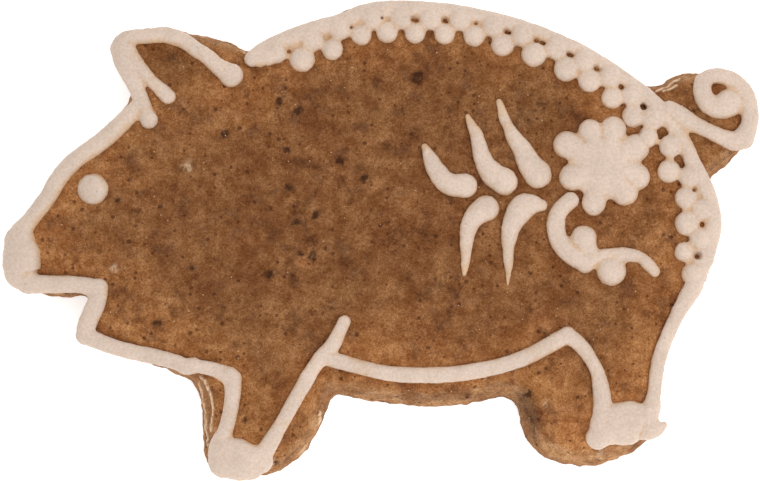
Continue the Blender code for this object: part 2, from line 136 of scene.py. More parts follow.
HEAD_AND_LEGS = [
    EAR_TOP, EAR_FOLD, EAR_STEM, FOREHEAD, SNOUT, MOUTH, CHIN, THROAT, FRONT_SHIN, FRONT_HOOF,
    FRONT_INSTEP, FRONT_CALF, BELLY, HIND_SHIN, HIND_HOOF, HIND_INSTEP, HAM]
BACK_AND_TAIL = [SPINE, TAIL_STEM, TAIL_CURL, TAIL_END]

# Beads along the back: x, y and radius of the inner row from nape to rump and of three at the nape,
# then how far the outer row lies from the inner one, and its radius
BACK_BEADS = [
    (-10.0, 23.0, 1.65), (-6.1, 24.3, 1.4), (-2.4, 26.2, 1.35), (0.9, 26.5, 1.4), (4.5, 26.4, 1.35),
    (8.3, 26.3, 1.35), (12.1, 26.1, 1.45), (15.7, 24.9, 1.5), (19.7, 23.6, 1.6), (23.8, 21.7, 1.6),
    (26.8, 20.2, 1.5), (29.7, 18.0, 1.45), (32.3, 15.6, 1.45), (34.1, 12.8, 1.35), (36.8, 8.5, 1.5),
    (39.0, 5.0, 1.5), (39.1, 1.8, 1.6), (38.7, -1.9, 1.28), (39.8, -4.7, 1.54)]
NAPE_BEADS = [(-13.2, 23.7, 1.3), (-14.2, 23.35, 1.2), (-15.4, 23.15, 1.15)]
ROW_SPACING = 1.9
OUTER_BEAD = 1.47

# Small gaps that the rows of beads leave open: x, y and radius
GAPS = [
    (-3.7, 27.1, 0.17), (0.25, 28.3, 0.17), (4.2, 28.2, 0.3), (8.3, 28.1, 0.35), (12.3, 27.7, 0.25),
    (16.2, 26.6, 0.3), (20.0, 25.4, 0.3), (24.1, 23.7, 0.25), (27.6, 21.8, 0.3), (33.6, 16.95, 0.28),
    (32.8, 13.7, 0.5), (35.9, 13.6, 0.48), (38.2, 10.0, 0.42), (40.0, 6.1, 0.26), (40.8, 1.8, 0.12),
    (40.3, -2.4, 0.46)]

# Drops from tip to head: x, y and half the width
DROPS = [
    [(5.7, 11.7, 0.45), (6.1, 10.8, 0.77), (6.5, 9.9, 1.02), (7.3, 8.4, 1.24), (8.7, 6.9, 1.41),
     (10.8, 6.6, 1.56)],
    [(11.2, 15.6, 0.34), (11.7, 14.4, 0.64), (12.3, 13.1, 0.87), (12.7, 11.6, 1.0), (13.2, 9.9, 1.19),
     (14.2, 8.3, 1.54), (15.8, 7.2, 1.77)],
    [(15.2, 17.5, 0.42), (15.5, 16.6, 0.54), (15.8, 15.5, 0.7), (16.3, 14.4, 0.72), (17.1, 12.8, 1.02),
     (18.2, 11.1, 1.28), (19.0, 9.5, 1.57), (20.1, 8.1, 1.79)],
    [(10.7, -4.8, 0.26), (10.8, -3.6, 0.55), (10.9, -2.5, 0.67), (11.0, -0.6, 0.9), (11.3, 1.2, 1.11),
     (12.2, 2.8, 1.41), (13.5, 3.7, 1.69)],
    [(16.2, -6.1, 0.19), (16.3, -4.4, 0.38), (16.3, -3.2, 0.61), (16.3, -1.7, 0.74), (16.4, -0.2, 1.02),
     (16.7, 1.3, 1.22), (17.4, 2.8, 1.51), (18.3, 3.9, 1.73), (19.7, 4.2, 1.25), (20.5, 4.1, 0.8)]]

# Flower: its centre, the radius and flatness of its middle, its petals by x, y and radius of their
# round ends, and how wide a petal is at each share of its way out
FLOWER_CENTRE = (28.6, 9.5)
FLOWER_BODY = 4.7
FLOWER_FLATNESS = 0.21
PETALS = [
    (23.9, 11.9, 1.79), (26.8, 13.7, 1.53), (29.8, 13.95, 1.68), (32.6, 11.5, 1.79), (32.6, 7.8, 1.79),
    (31.1, 5.9, 1.82), (27.2, 4.3, 1.53), (24.6, 7.8, 1.79)]
PETAL_WIDTHS = ((0.3, 0.9), (0.65, 0.95), (1, 1))

# Scroll: its lines by x, y and half the width, its berries by x, y and radius
SCROLL_STEM = [
    (24.2, 4.7, 1.1), (22.9, 3.4, 1.1), (22.4, 1.9, 1.2), (23.2, -1.2, 1.2), (26.1, -3.4, 1.2)]
SCROLL_FORK = [(25.9, -0.1, 1.4), (26.8, -2.6, 1.2)]
SCROLL_TENDRIL = [
    (26.2, -3.4, 0.95), (27.3, -2.7, 0.9), (29.4, -2.3, 0.9), (31.3, -2.3, 0.93), (33.0, -2.6, 0.77),
    (34.1, -3.5, 0.81), (34.9, -4.4, 0.68)]
SCROLL_BERRIES = [(25.9, -0.1, 1.66), (29.4, -4.3, 1.9)]

# Middle of the eye's solid, by which all landmarks are placed, and the piped eye
EYE_NODE = (-36.7, 6.2)
EYE = (-36.6, 6.2, 1.97)

# Marks on the dough: x, y and radius of dark and pale spots, then ridges of flaking crust
DARK_SPOTS = [
    (-19.9, 13.4, 0.7), (-12.8, 17.5, 0.5), (-10.4, 16.4, 0.65), (-11.8, 11.3, 0.5),
    (-11.5, 6.4, 0.65), (-5.1, 10.0, 0.5), (-1.9, 7.7, 0.5), (4.9, 20.7, 0.9),
    (-28.2, -10.8, 0.6), (-23.8, -3.9, 0.5), (-28.0, 3.9, 0.45), (-33.4, 4.8, 0.4),
    (-8.3, 2.9, 0.55), (-8.6, -2.5, 0.6), (-10.2, -2.0, 0.45), (-14.0, -4.8, 0.6),
    (-10.6, 2.1, 0.4), (-16.9, -23.4, 0.45), (-13.1, -28.5, 0.35), (15.3, -20.2, 0.5),
    (18.8, -19.8, 0.35)]
PALE_SPOTS = [
    (-24.5, 9.2, 0.7), (-33.7, -3.9, 0.55), (27.9, -27.5, 0.35), (21.1, -20.6, 0.3), (20.9, -21.4, 0.3)]
RIDGES = [
    [(-22.9, -17.6), (-22.2, -18.1), (-21.5, -19.7), (-21.1, -21.7), (-21.3, -23.2), (-21.4, -24.5)],
    [(-23.1, -18.3), (-22.7, -19.6), (-22.3, -22.1), (-22.2, -23.6), (-21.9, -25.2), (-21.8, -26.2)],
    [(-7.6, -22.0), (-7.8, -24.1), (-8.8, -25.7), (-10.2, -27.3), (-11.5, -28.9)],
    [(20.8, -27.7), (22.7, -28.4), (24.6, -28.6)],
    [(-19.5, 25.3), (-18.7, 25.0), (-18.0, 24.6), (-17.4, 24.2)],
    [(35.4, 19.0), (36.2, 19.4), (37.0, 19.9), (37.8, 20.5), (38.5, 20.8)],
    [(36.3, 19.0), (37.2, 19.3), (38.0, 19.8)],
    [(34.4, 19.8), (35.5, 20.3), (36.9, 20.8), (38.2, 21.2)]]

# Dark lines on the dough: each a line, how far it spreads to each side and how dark it is. The first and the
# last are painted shade on the hind leg's left slope.
SMEARS_AND_SHADE = [
    # Painted shade on the hind leg's left slope
    ([(19.2, -22.9), (19.3, -23.7), (19.5, -24.8)], 0.5, 0.75),
    ([(20.2, 17.2), (21.2, 17.3)], 0.5, 0.75),
    ([(-4.3, -19.7), (2.5, -20.4), (9.0, -20.5), (15.9, -19.8)], 0.9, 0.42),
    # Painted shade on the hind leg's left slope
    ([(18.2, -19.8), (19.3, -21.9), (20.4, -23.8)], 1.9, 0.42)]

# Broad parts of the dough that are darker or paler: x, y, reach and how much paler. The two at (18.3, -22.1)
# and (18.3, -20.3) are painted shade on the hind leg's left slope.
TONE_AND_SHADE_PATCHES = [
    (-27.5, 22.5, 6.0, -0.65), (-22.5, 22.5, 5.0, -0.35), (40.0, 14.5, 8.5, -0.7), (-25.0, 14.0, 6.0, 0.12),
    # Painted shade: the patch at (18.3, -22.1) is shade on the hind leg's left slope
    (30.0, -21.5, 8.0, 0.3), (25.0, -24.0, 7.0, 0.4), (18.3, -22.1, 4.0, -0.35), (4.0, -13.0, 12.0, 0.24),
    (5.0, 17.0, 16.0, -0.15), (31.0, -9.0, 7.0, -0.12), (-16.0, 2.0, 18.0, -0.12), (-9.7, -3.2, 1.6, 0.7),
    (-33.0, -2.0, 10.0, -0.15), (-14.0, -22.0, 8.0, -0.12), (-31.0, 10.5, 5.0, -0.22),
    (-21.0, -10.5, 8.0, -0.3), (21.0, 18.5, 9.0, -0.38), (-4.0, -5.5, 8.0, -0.2), (6.0, -5.0, 7.0, -0.15),
    (27.0, 1.0, 8.0, 0.3), (21.5, -12.5, 6.0, 0.3), (22.0, -3.5, 4.0, 0.25), (-17.5, 0.5, 4.0, 0.25),
    # Painted shade: this patch is shade on the hind leg's left slope
    (18.3, -20.3, 1.9, -0.3)]

# Upward part of a surface's normal: on the wall, where the wall turns into the top, and on the level top
WALL_NORMAL = 0.5
TURNING_NORMAL = (0.45, 0.85)
LEVEL_NORMAL = 0.9

# Height from which rays are sent down to the dough
ABOVE_ALL = 1

# Heights between which the brown of the underside fades into the wall
SOLE = (0.0002, 0.0012)

# Shares of a spot's radius at which it begins to fade and is gone
SPOT_FADE = (0.4, 1.5)

# Size and reach of the noise that makes marks ragged, and its seed
MARK_WOBBLE = (0.0007, 0.0004)
WOBBLE_SEED = 4

# Rounds of smoothing against which creases of the icing are measured
CREASE_ROUNDS = 12

# Range in which nearly all values of a noise lie, and the middle of a noise's colour
MIDTONES = (0.3, 0.7)
NOISE_MIDDLE = (0.5, 0.5, 0.5)
WHITE = (1, 1, 1, 1)

# Layers of mottling of the dough: size, detail, roughness, darkest, lightest and tint
CLOUDS = (0.0042, 3, 0.55, 0.81, 1.19, (1, 1.35, 1.55))
PATCHES = (0.0015, 3, 0.6, 0.80, 1.18, (1, 1.4, 1.9))
GRAINS = (0.00036, 3, 0.7, 0.80, 1.20, (1, 1.3, 1.8))
DUST = (0.00017, 1, 0.5, 0.81, 1.19, (1, 1.4, 2.0))

# Layers of mottling of the icing, in the same order
VEILS = (0.003, 2, 0.5, 0.95, 1.04, (1, 1, 1))
SAND = (0.00032, 3, 0.6, 0.92, 1.06, (1, 1.25, 1.6))

# Spots of the finishes: width of a cell, largest radius in cells, share of cells with one, and strength
SPECKS = (0.001, 0.34, 0.8, 1.0)
CRUMBS = (0.0005, 0.25, 0.6, 0.6)
BLOTS = (0.0024, 0.26, 0.5, 0.4)
# Sugar crystals, partly painted glints: their pale spots also stand for the sparkle of light on them
GLINTS = (0.0009, 0.12, 0.75, 0.75)
# Pores of the icing, darkened partly as painted shade in them
PORES = (0.0009, 0.16, 0.4, 1.0)

# How strongly the dark spots of the dough, and the pores of the icing, change the colour; the pores'
# darkness is partly painted shade in them.
SPECK_STRENGTH = 0.72
PORE_STRENGTH = 0.45

# Tints that stains and the rims of charred spots give to the dough; the rim tint also lies on the painted
# shade of the hind leg's left slope.
STAIN_TINT = (0.60, 0.58, 0.64)
HALO_TINT = (0.56, 0.58, 0.66)

# Stage: width of the floor, its gap below the cookie, height that the camera aims at, places of the lights
FLOOR_WIDTH = 3
FLOOR_GAP = 0.00005
AIM_HEIGHT = 0.0035
KEY_PLACE = (0.38, -0.36, 0.58)
FILL_PLACE = (0.2, 0.1, 0.9)

# Where the landmarks' zero lies in the frame
LOWEST_EYE, HIGHEST_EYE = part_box("icing_eye")
SHIFT = (LOWEST_EYE.xy + HIGHEST_EYE.xy) / 2 - Vector(EYE_NODE) * MM


def size_setting(name, description, default, low=0.0):
    """A length that the sidebar shows."""
    return FloatProperty(
        name=name, description=description, default=default, min=low, subtype="DISTANCE",
        unit="LENGTH", precision=5)


def share_setting(name, description, default, high=1.0):
    """A plain share or strength that the sidebar shows."""
    return FloatProperty(name=name, description=description, default=default, min=0, max=high)


def colour_setting(name, description, default):
    """A linear colour that the sidebar shows."""
    return FloatVectorProperty(
        name=name, description=description, default=default, min=0, max=1, size=3, subtype="COLOR")


class DoughSettings(bpy.types.PropertyGroup):
    """Sizes and colours of the baked dough."""

    grain: size_setting("Grain", "Width of one face of the baked surface", 0.00036, 0.0002)
    fine_reach: size_setting("Fine reach", "How far round a ridge the faces are cut finer", 0.0009)
    fine_low: size_setting("Lowest fine face", "Height from which faces are cut finer", 0.002)
    lumps: size_setting("Lumps", "Height of the broad unevenness", 0.00016)
    lump_size: size_setting("Lump size", "Width of the broad unevenness", 0.0045)
    crumb: size_setting("Crumb", "Height of the fine crumb on the top", 0.00007)
    crumb_size: size_setting("Crumb size", "Width of the fine crumb", 0.0011)
    crust: size_setting("Crust", "Height of the rough crust on the wall", 0.00028)
    crust_size: size_setting("Crust size", "Width of the rough crust", 0.0016)
    ridge: size_setting("Ridge", "Height of the flaking ridges along the edge", 0.00012)
    ridge_reach: size_setting("Ridge reach", "How far a ridge spreads to each side", 0.00024)
    flake_low: size_setting("Lowest flake", "Height on the wall from which crust flakes", 0.0036)
    flake_fade: size_setting("Flake fade", "Height over which the flaking sets in", 0.001)
    paleness: share_setting("Paleness", "How pale the pale spots are", 0.38)
    mark_low: size_setting("Lowest mark", "Height on the wall from which marks show", 0.003)
    dent: share_setting("Dent", "How deep a dark mark lies, as a share of a ridge's height", 0.6)
    middle: colour_setting("Middle", "Dough far from the edge", (0.230, 0.094, 0.0335))
    # Partly painted light: the edge and wall colours are paler partly as the dough's own colour, partly as
    # light on its rounded shoulders and front wall
    edge: colour_setting("Edge", "Dough near the edge", (0.325, 0.134, 0.0465))
    wall: colour_setting("Wall", "Dough on the wall", (0.366, 0.181, 0.079))
    underside: colour_setting("Underside", "Dough that lay on the tin", (0.19, 0.075, 0.026))
    speck: colour_setting("Speck", "Dark specks of spice", (0.062, 0.018, 0.007))
    # Also the darkest colour of the painted shade on the hind leg's left slope
    char: colour_setting("Char", "Dark spots of burnt sugar", (0.036, 0.011, 0.004))
    # Pale sugar crystals whose colour is partly a painted glint highlight
    glint: colour_setting("Glint", "Pale crystals of sugar", (0.62, 0.45, 0.28))
    flake: colour_setting("Flake", "Pale flaking crust", (0.73, 0.51, 0.33))


class IcingSettings(bpy.types.PropertyGroup):
    """Sizes and colours of the piped icing."""

    grain: size_setting("Grain", "Width of one face of the icing", 0.000142, 0.00008)
    flatness: share_setting("Flatness", "Height of a piped line as a share of its width", 0.65)
    lift: size_setting("Lift", "Height of a line's middle above the dough", 0.00035)
    thin_line: size_setting("Thin line", "Half width above which a line sinks in", 0.0012)
    sinking: share_setting("Sinking", "How far a thicker line sinks, for each unit of half width", 0.35)
    tip_line: size_setting("Tip line", "Half width below which a line's tip sinks in", 0.0008)
    tip_sinking: share_setting("Tip sinking", "How far a thin tip sinks, for each unit of half width", 0.6)
    bead_rise: size_setting("Bead rise", "How much higher the outer row of beads lies", 0.00016)
    sag: size_setting("Sag", "How far a line follows the shoulder of the dough", 0.0003)
    overhang: size_setting("Overhang", "Depth below the top from which icing hangs free", 0.0007)
    bite: size_setting("Bite", "How deep the icing sits in the dough", 0.00015)
    spread: size_setting("Spread", "How far the icing settles beyond its piped width", 0.00003)
    flow: size_setting("Flow", "Half width of a crease that runs full where lines meet", 0.0001)
    swell: size_setting("Swell", "Height of the unevenness of a piped line", 0.00009)
    swell_size: size_setting("Swell size", "Width of the unevenness of a piped line", 0.0022)
    ripple: size_setting("Ripple", "Height of the small unevenness of its edge", 0.00005)
    ripple_size: size_setting("Ripple size", "Width of the small unevenness", 0.0008)
    sand: size_setting("Sand", "Height of the sandy grain of its surface", 0.00005 / 3)
    sand_size: size_setting("Sand size", "Width of the sandy grain", 0.0004)
    cream: colour_setting("Cream", "Dried icing", (0.665, 0.522, 0.426))
    # Its tan also tints the icing's creases as painted shade
    fringe_and_crease_shade: colour_setting("Fringe", "Thin icing that lets the dough show", (0.62, 0.41, 0.25))
    # Partly painted shade: the pores are darkened as shade in them; the grey specks are the icing's own
    pore: colour_setting("Pore", "Tiny pores and grey specks", (0.34, 0.26, 0.21))


class StageSettings(bpy.types.PropertyGroup):
    """Floor, light and camera."""

    floor: colour_setting("Floor", "Plain pale floor", (0.93, 0.93, 0.93))
    glow: share_setting("Glow", "How much the floor brightens itself", 0.55, 2)
    sky: share_setting("Sky", "Strength of the light from all round", 0.82, 5)
    key: FloatProperty(
        name="Key", description="Power of the soft light from the front right", default=1.5, min=0,
        subtype="POWER", unit="POWER")
    key_size: size_setting("Key size", "Width of the light from the front right", 0.3)
    fill: FloatProperty(
        name="Fill", description="Power of the soft light from above", default=1.2, min=0,
        subtype="POWER", unit="POWER")
    fill_size: size_setting("Fill size", "Width of the light from above", 0.6)
    elevation: FloatProperty(
        name="Elevation", description="Height of the camera above the horizon",
        default=math.radians(82), subtype="ANGLE", unit="ROTATION")
    distance: size_setting("Distance", "From the camera to the cookie", 0.486)
    lens: FloatProperty(
        name="Lens", description="Focal length of the camera", default=180, min=1,
        subtype="DISTANCE_CAMERA", unit="CAMERA")


class Finish:
    """A material whose nodes are added one after another; each call returns a socket to go on from."""

    def __init__(self, name):
        self.material = bpy.data.materials.new(name)
        self.material.use_nodes = True
        self.tree = self.material.node_tree
        self.surface = self.tree.nodes["Principled BSDF"]
        self.place = self.node("ShaderNodeTexCoord").outputs["Object"]

    def node(self, kind, inputs=None, **settings):
        """A node with its settings and its inputs."""
        node = self.tree.nodes.new(kind)
        for name, value in settings.items():
            setattr(node, name, value)
        self.feed(node, inputs or {})
        return node

    def feed(self, node, inputs):
        """Link each input that another node gives, and set each one that is a value."""
        for name, value in inputs.items():
            if isinstance(value, bpy.types.NodeSocket):
                self.tree.links.new(value, node.inputs[name])
            else:
                node.inputs[name].default_value = value

    def attribute(self, name):
        return self.node("ShaderNodeAttribute", attribute_name=name).outputs["Fac"]

    def noise(self, size, detail=2.0, roughness=0.5):
        inputs = {"Vector": self.place, "Scale": 1 / size, "Detail": detail, "Roughness": roughness}
        return self.node("ShaderNodeTexNoise", inputs).outputs["Fac"]

    def shaken(self, size, reach):
        """The place, moved about by noise, so that round spots come out ragged."""
        wobble = self.node("ShaderNodeTexNoise", {"Vector": self.place, "Scale": 1 / size})
        centred = self.node("ShaderNodeVectorMath", {0: wobble.outputs["Color"], 1: NOISE_MIDDLE},
                            operation="SUBTRACT").outputs[0]
        moved = self.node("ShaderNodeVectorMath", {0: centred, "Scale": reach}, operation="SCALE").outputs[0]
        return self.node("ShaderNodeVectorMath", {0: self.place, 1: moved}, operation="ADD").outputs[0]

    def calculate(self, operation, first, second=0.0, clamp=False):
        return self.node("ShaderNodeMath", {0: first, 1: second}, operation=operation,
                         use_clamp=clamp).outputs[0]

    def ease(self, value, low, high, start=0.0, end=1.0):
        """The value moved smoothly from its range low to high to the range start to end."""
        inputs = {"Value": value, "From Min": low, "From Max": high, "To Min": start, "To Max": end}
        return self.node("ShaderNodeMapRange", inputs, interpolation_type="SMOOTHSTEP").outputs["Result"]

    def mix(self, share, first, second, mode="MIX"):
        """Two colours mixed by a share."""
        colours = [value if isinstance(value, bpy.types.NodeSocket) else (*value, 1)
                   for value in (first, second)]
        return self.node("ShaderNodeMix", {0: share, 6: colours[0], 7: colours[1]},
                         data_type="RGBA", blend_type=mode).outputs[2]

    def spots(self, cell, radius, share, strength, place=None, sharpness=3):
        """Round spots in some of the cells, up to a radius in cells, each with its own size."""
        cells = self.node("ShaderNodeTexVoronoi", {"Vector": place or self.place, "Scale": 1 / cell})
        draw = self.node("ShaderNodeSeparateColor", {0: cells.outputs["Color"]}).outputs[0]
        reach = self.node("ShaderNodeMapRange", {
            "Value": draw, "From Min": 1 - share, "From Max": 1, "To Min": 0, "To Max": radius}).outputs[0]
        inside = self.calculate("SUBTRACT", reach, cells.outputs["Distance"])
        cover = self.calculate("MULTIPLY", inside, sharpness / radius, clamp=True)
        return self.calculate("MULTIPLY", cover, strength)

    def tone(self, colour, value, low, high, darkest, lightest, tint=(1, 1, 1)):
        """The colour made darker and lighter by a value, each of red, green and blue by its share."""
        change = self.ease(value, low, high, darkest - 1, lightest - 1)
        factor = self.node("ShaderNodeVectorMath", {0: change, 1: tint, 2: (1, 1, 1)},
                           operation="MULTIPLY_ADD").outputs[0]
        return self.node("ShaderNodeVectorMath", {0: colour, 1: factor}, operation="MULTIPLY").outputs[0]

    def mottle(self, colour, layer):
        """The colour made darker and lighter by a layer of noise."""
        size, detail, roughness, darkest, lightest, tint = layer
        return self.tone(colour, self.noise(size, detail, roughness), *MIDTONES, darkest, lightest, tint)

    def bump(self, height, distance, strength=1.0, below=None):
        inputs = {"Height": height, "Distance": distance, "Strength": strength}
        if below:
            inputs["Normal"] = below
        return self.node("ShaderNodeBump", inputs).outputs[0]


def brown(finish, look):
    """The dough's colour by depth from the edge, on the wall and underneath, with broad paler and darker
    patches.
    """
    drift = finish.ease(finish.noise(size=0.009), *MIDTONES, start=-2.5, end=2.5)
    baked = finish.calculate("ADD", finish.attribute("depth"), drift)
    # Partly painted light: the paler edge and wall stand partly for light on the rounded shoulders
    colour = finish.mix(finish.ease(baked, low=1.5, high=11), look.edge, look.middle)
    colour = finish.mix(finish.attribute("wall"), colour, look.wall)
    colour = finish.mix(finish.attribute("under"), colour, look.underside)
    # Broad paler and darker patches; those on the hind leg's left slope are painted shade
    return finish.tone(colour, finish.attribute("tone_and_shade"), low=-1, high=1, darkest=0.6, lightest=1.4)


def mottled(finish, colour):
    """The colour with clouds, patches, stains and grain."""
    colour = finish.mottle(finish.mottle(colour, CLOUDS), PATCHES)
    stained = finish.mix(1, colour, STAIN_TINT, "MULTIPLY")
    stain = finish.ease(finish.noise(size=0.0026, detail=3, roughness=0.6), low=0.48, high=0.74)
    colour = finish.mix(stain, colour, stained)
    return finish.mottle(finish.mottle(colour, GRAINS), DUST)


def burnt_and_shaded(finish, colour, look):
    """The colour with dark spots of charred sugar, each in a darker rim, and with the painted shade of the
    hind leg's left slope, which comes in the same marks.
    """
    mark = finish.attribute("mark")
    halo = finish.mix(1, colour, HALO_TINT, "MULTIPLY")
    colour = finish.mix(finish.ease(mark, low=0.05, high=0.6, end=0.8), colour, halo)
    broken = finish.ease(finish.noise(size=0.0007, detail=3, roughness=0.7), low=0.3, high=0.5)
    spot = finish.calculate("MULTIPLY", finish.ease(mark, low=0.45, high=0.9, end=0.8), broken)
    # On the hind leg's left slope this darkening is painted shade
    return finish.mix(spot, colour, look.char)


def dough_finish(look):
    """Baked brown gingerbread: mottled, specked with spice, paler at the edge and on the wall, partly as
    painted light, with painted glints and painted shade.
    """
    finish = Finish("baked_dough")
    colour = mottled(finish, brown(finish, look))
    ragged = finish.shaken(size=0.0006, reach=0.0005)
    bent = finish.shaken(size=0.00035, reach=0.00028)
    dark = finish.spots(*SPECKS, bent)
    dark = finish.calculate("MAXIMUM", dark, finish.spots(*CRUMBS, bent))
    dark = finish.calculate("MAXIMUM", dark, finish.spots(*BLOTS, ragged))
    colour = finish.mix(finish.calculate("MULTIPLY", dark, SPECK_STRENGTH), colour, look.speck)
    colour = burnt_and_shaded(finish, colour, look)
    # Sugar crystals with painted glint highlights
    colour = finish.mix(finish.spots(*GLINTS), colour, look.glint)
    crack = finish.ease(finish.noise(size=0.0004, detail=3, roughness=0.7), low=0.34, high=0.56, end=1.5)
    pale = finish.calculate("MULTIPLY", finish.attribute("flake"), crack, clamp=True)
    colour = finish.mix(pale, colour, look.flake)

    uneven = finish.noise(size=0.0008, detail=4, roughness=0.65)
    normal = finish.bump(uneven, distance=0.00018, strength=0.9)
    normal = finish.bump(finish.noise(*GRAINS[:3]), distance=0.00009, strength=0.9, below=normal)
    pits = finish.calculate("SUBTRACT", 1, dark)
    normal = finish.bump(pits, distance=0.00006, strength=0.7, below=normal)
    finish.feed(finish.surface, {
        "Base Color": colour,
        "Roughness": finish.ease(finish.noise(size=0.0012, detail=3), *MIDTONES, start=0.72, end=0.92),
        "Specular IOR Level": 0.08,
        "Normal": normal})
    return finish.material


def icing_finish(look):
    """Dried sugar icing: satin, sandy, with pores and a tan edge where it thins out; painted shade darkens
    its creases, partly its pores, and its left end at the snout.
    """
    finish = Finish("sugar_icing")
    ragged = finish.ease(finish.noise(size=0.0011), *MIDTONES, start=-0.12, end=0.12)
    edge = finish.calculate("ADD", finish.attribute("height"), ragged)
    colour = finish.mix(finish.ease(edge, low=0.22, high=0.98), look.fringe_and_crease_shade, look.cream)
    # Painted shade: creases between beads and lines are tinted towards the tan of thin icing
    crease_shade = finish.ease(finish.attribute("crease"), low=0.01, high=0.08, end=0.8)
    colour = finish.mix(crease_shade, colour, look.fringe_and_crease_shade)
    # Painted shade: the icing is made darker towards its left end, at the snout
    along = finish.node("ShaderNodeSeparateXYZ", {0: finish.place}).outputs[0]
    colour = finish.tone(colour, along, low=-0.048, high=-0.01, darkest=0.93, lightest=1)
    colour = finish.mottle(finish.mottle(colour, VEILS), SAND)
    pores = finish.spots(*PORES)
    # Partly painted shade: darker in the pores
    colour = finish.mix(finish.calculate("MULTIPLY", pores, PORE_STRENGTH), colour, look.pore)

    normal = finish.bump(finish.noise(*SAND[:3]), distance=0.00006, strength=0.8)
    full = finish.calculate("SUBTRACT", 1, pores)
    normal = finish.bump(full, distance=0.00005, strength=0.6, below=normal)
    finish.feed(finish.surface, {
        "Base Color": colour,
        "Roughness": finish.ease(finish.noise(size=0.0014), *MIDTONES, start=0.44, end=0.6),
        "Specular IOR Level": 0.35,
        "Subsurface Weight": 0.15,
        "Subsurface Radius": (1.0, 0.7, 0.5),
        "Subsurface Scale": 0.0006,
        "Normal": normal})
    return finish.material


def placed(landmark):
    """A landmark's x and y in the frame, in metres."""
    return Vector(landmark[:2]) * MM + SHIFT


def pick(item):
    """Select one object alone and make it active."""
    bpy.ops.object.select_all(action="DESELECT")
    item.select_set(True)
    bpy.context.view_layer.objects.active = item


def shape(item, kind, **settings):
    """Add a modifier to an object, set it and apply it."""
    pick(item)
    bpy.ops.object.modifier_add(type=kind)
    modifier = item.modifiers[-1]
    for name, value in settings.items():
        setattr(modifier, name, value)
    bpy.ops.object.modifier_apply(modifier=modifier.name)


def roughen(item, name, size, height, group=""):
    """Move a surface in and out by cloudy noise of a size, within a vertex group if one is named."""
    clouds = bpy.data.textures.new(name, "CLOUDS")
    clouds.noise_scale = size
    clouds.noise_depth = 2
    shape(item, "DISPLACE", texture=clouds, texture_coords="LOCAL", strength=2 * height,
          mid_level=0.5, vertex_group=group)
    bpy.data.textures.remove(clouds)


def vectors(item, kind):
    """A mesh's vertex places or normals as an array."""
    values = np.empty(len(item.data.vertices) * 3)
    if kind == "normal":
        item.data.vertex_normals.foreach_get("vector", values)
    else:
        item.data.vertices.foreach_get("co", values)
    return values.reshape(-1, 3)


def put_places(item, places):
    item.data.vertices.foreach_set("co", places.ravel())
    item.data.update()


def put_attribute(item, name, values):
    """Store one number a vertex for the material to read."""
    attribute = item.data.attributes.new(name, "FLOAT", "POINT")
    attribute.data.foreach_set("value", np.asarray(values, dtype=np.float32))


def smoothstep(values, low, high):
    share = np.clip((values - low) / (high - low), 0, 1)
    return share * share * (3 - 2 * share)


def nearness(places, line, reach):
    """How near each place is to a line seen from above: 1 on it, falling to 0 at its reach."""
    marks = np.array([placed(mark) for mark in line])
    best = np.full(len(places), np.inf)
    for start, end in zip(marks, marks[1:]):
        side = end - start
        share = np.clip((places[:, :2] - start) @ side / (side @ side), 0, 1)
        best = np.minimum(best, np.linalg.norm(places[:, :2] - start - share[:, None] * side, axis=1))
    return 1 - smoothstep(best, 0, reach)


def shaken(places, size, reach):
    """Places moved about by noise, so that a round spot drawn at them comes out ragged."""
    noise.seed_set(WOBBLE_SEED)
    return places + reach * np.array([noise.noise_vector(Vector(place) / size) for place in places])


def spot_cover(places, spots):
    """How far each place is within the nearest of some round spots."""
    cover = np.zeros(len(places))
    for spot in spots:
        distance = np.linalg.norm(places[:, :2] - np.array(placed(spot)), axis=1)
        core, rim = [share * spot[2] * MM for share in SPOT_FADE]
        cover = np.maximum(cover, 1 - smoothstep(distance, core, rim))
    return cover


def refine(item, lines, look):
    """Cut the faces near some lines finer, so that thin ridges can stand out of the surface."""
    centres = np.empty(len(item.data.polygons) * 3)
    item.data.polygons.foreach_get("center", centres)
    centres = centres.reshape(-1, 3)
    near = np.max([nearness(centres, line, look.fine_reach) for line in lines], axis=0) > 0
    pick(item)
    bpy.ops.object.mode_set(mode="EDIT")
    bpy.ops.mesh.select_all(action="DESELECT")
    bpy.ops.mesh.select_mode(type="FACE")
    bpy.ops.object.mode_set(mode="OBJECT")
    item.data.polygons.foreach_set("select", near & (centres[:, 2] > look.fine_low))
    bpy.ops.object.mode_set(mode="EDIT")
    bpy.ops.mesh.subdivide(number_cuts=2)
    bpy.ops.mesh.select_mode(type="VERT")
    bpy.ops.object.mode_set(mode="OBJECT")


def edge_distance(places, normals):
    """How far each place is from the wall, seen from above."""
    steep = np.flatnonzero(np.abs(normals[:, 2]) < WALL_NORMAL)
    tree = kdtree.KDTree(len(steep))
    for number, index in enumerate(steep):
        tree.insert((places[index, 0], places[index, 1], 0), number)
    tree.balance()
    return np.array([tree.find((x, y, 0))[2] for x, y in places[:, :2]])


def wear(item, material):
    """Give an object one material alone."""
    item.data.materials.clear()
    item.data.materials.append(material)


def finish_piece(item, material, slot, *nodes):
    """Smooth shading, material and place in the frame, for a piece that stands for CAD nodes."""
    pick(item)
    bpy.ops.object.shade_smooth()
    item.data.name = item.name
    wear(item, material)
    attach(item, "root")
    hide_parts(*nodes)


